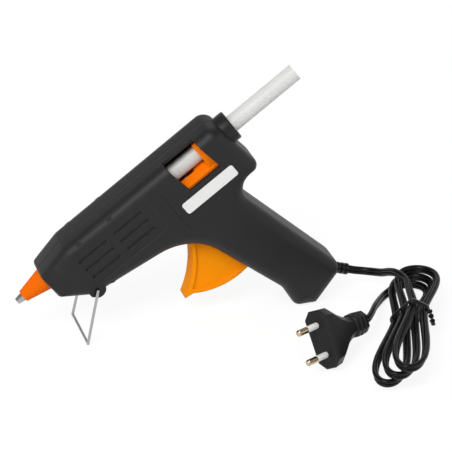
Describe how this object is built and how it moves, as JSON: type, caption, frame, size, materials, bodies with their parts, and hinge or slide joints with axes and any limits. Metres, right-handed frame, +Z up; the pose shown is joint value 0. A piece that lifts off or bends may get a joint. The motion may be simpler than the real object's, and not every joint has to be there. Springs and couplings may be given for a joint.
{
  "type": "hot glue applicator",
  "caption": "Trigger-fed hot glue gun with hinged trigger, sliding stick carriage, folding wire stand, flat cord tied in a hank and two-pin plug.",
  "frame": {"origin": "middle of the gun's length and width on the table it stands on, without cord and plug", "axes": "+X from the nozzle back towards the handle, +Y to the right-hand housing half, +Z up"},
  "size_m": [0.2684, 0.1536, 0.1617],
  "materials": {
    "housing": "satin textured moulding",
    "orange": "gloss moulding",
    "insulator": "satin",
    "tip": "turned",
    "chamber": "cast",
    "heater": "ceramic block in polyimide film",
    "spring_steel": "drawn wire",
    "sleeve": "satin",
    "jaw_steel": "stamped",
    "pins": "ground",
    "collar": "satin",
    "stick": "milky translucent hot-melt",
    "stand_wire": "bright",
    "screws": "zinc",
    "cord": "gloss",
    "relief": "satin",
    "lead": "satin",
    "tie": "gloss",
    "plug": "satin",
    "brass": "drawn",
    "sleeves": "gloss"
  },
  "bodies": {
    "body": {"left_housing": "housing", "right_housing": "housing", "nozzle_tip": "tip", "nozzle_insulator": "insulator", "melt_chamber": "chamber", "ptc_heater": "heater", "heater_clamp": "spring_steel", "inlet_sleeve": "sleeve", "trigger_pivot_pin": "pins", "return_spring": "spring_steel", "stick_collar": "collar", "housing_screws": "screws", "strain_relief": "relief", "cord_clamp": "collar", "clamp_screws": "screws", "heater_leads": "lead", "cord_lead_gun": "cord", "cord_hank": "cord", "cord_tie": "tie", "cord_lead_plug": "cord", "plug_body": "plug", "plug_pins": "brass", "pin_sleeves": "sleeves"},
    "trigger": {"trigger": "orange", "drive_pin": "pins"},
    "carriage": {"carriage": "orange", "jaw_pin": "pins"},
    "jaw": {"grip_jaw": "jaw_steel"},
    "stick": {"glue_stick": "stick"},
    "stand": {"wire_stand": "stand_wire"}
  },
  "joints": [
    {"name": "trigger_pull", "type": "hinge", "parent": "body", "child": "trigger", "pos_m": [0.01203, 0, 0.06371], "axis": [0, -1, 0], "range_deg": [0, 26], "stiffness_Nm_per_rad": 0.25, "springref_deg": -17.19, "deforming": ["return_spring"]},
    {"name": "carriage_slide", "type": "slide", "parent": "body", "child": "carriage", "axis": [-0.809, 0, -0.5878], "range_m": [0, 0.01055]},
    {"name": "jaw_tilt", "type": "hinge", "parent": "carriage", "child": "jaw", "pos_m": [0.00844, 0, 0.09417], "axis": [0, 1, 0], "range_deg": [0, 4]},
    {"name": "stick_feed", "type": "slide", "parent": "carriage", "child": "stick", "axis": [0.809, 0, 0.5878], "range_m": [0, 0.06]},
    {"name": "stand_fold", "type": "hinge", "parent": "body", "child": "stand", "pos_m": [-0.05564, 0, 0.03606], "axis": [0, -1, 0], "range_deg": [0, 100]}
  ],
  "couplings": [
    {"joint": "carriage_slide", "follows": "trigger_pull", "m_per_rad": 0.022803},
    {"joint": "jaw_tilt", "follows": "trigger_pull", "ratio": 0.15}
  ]
}
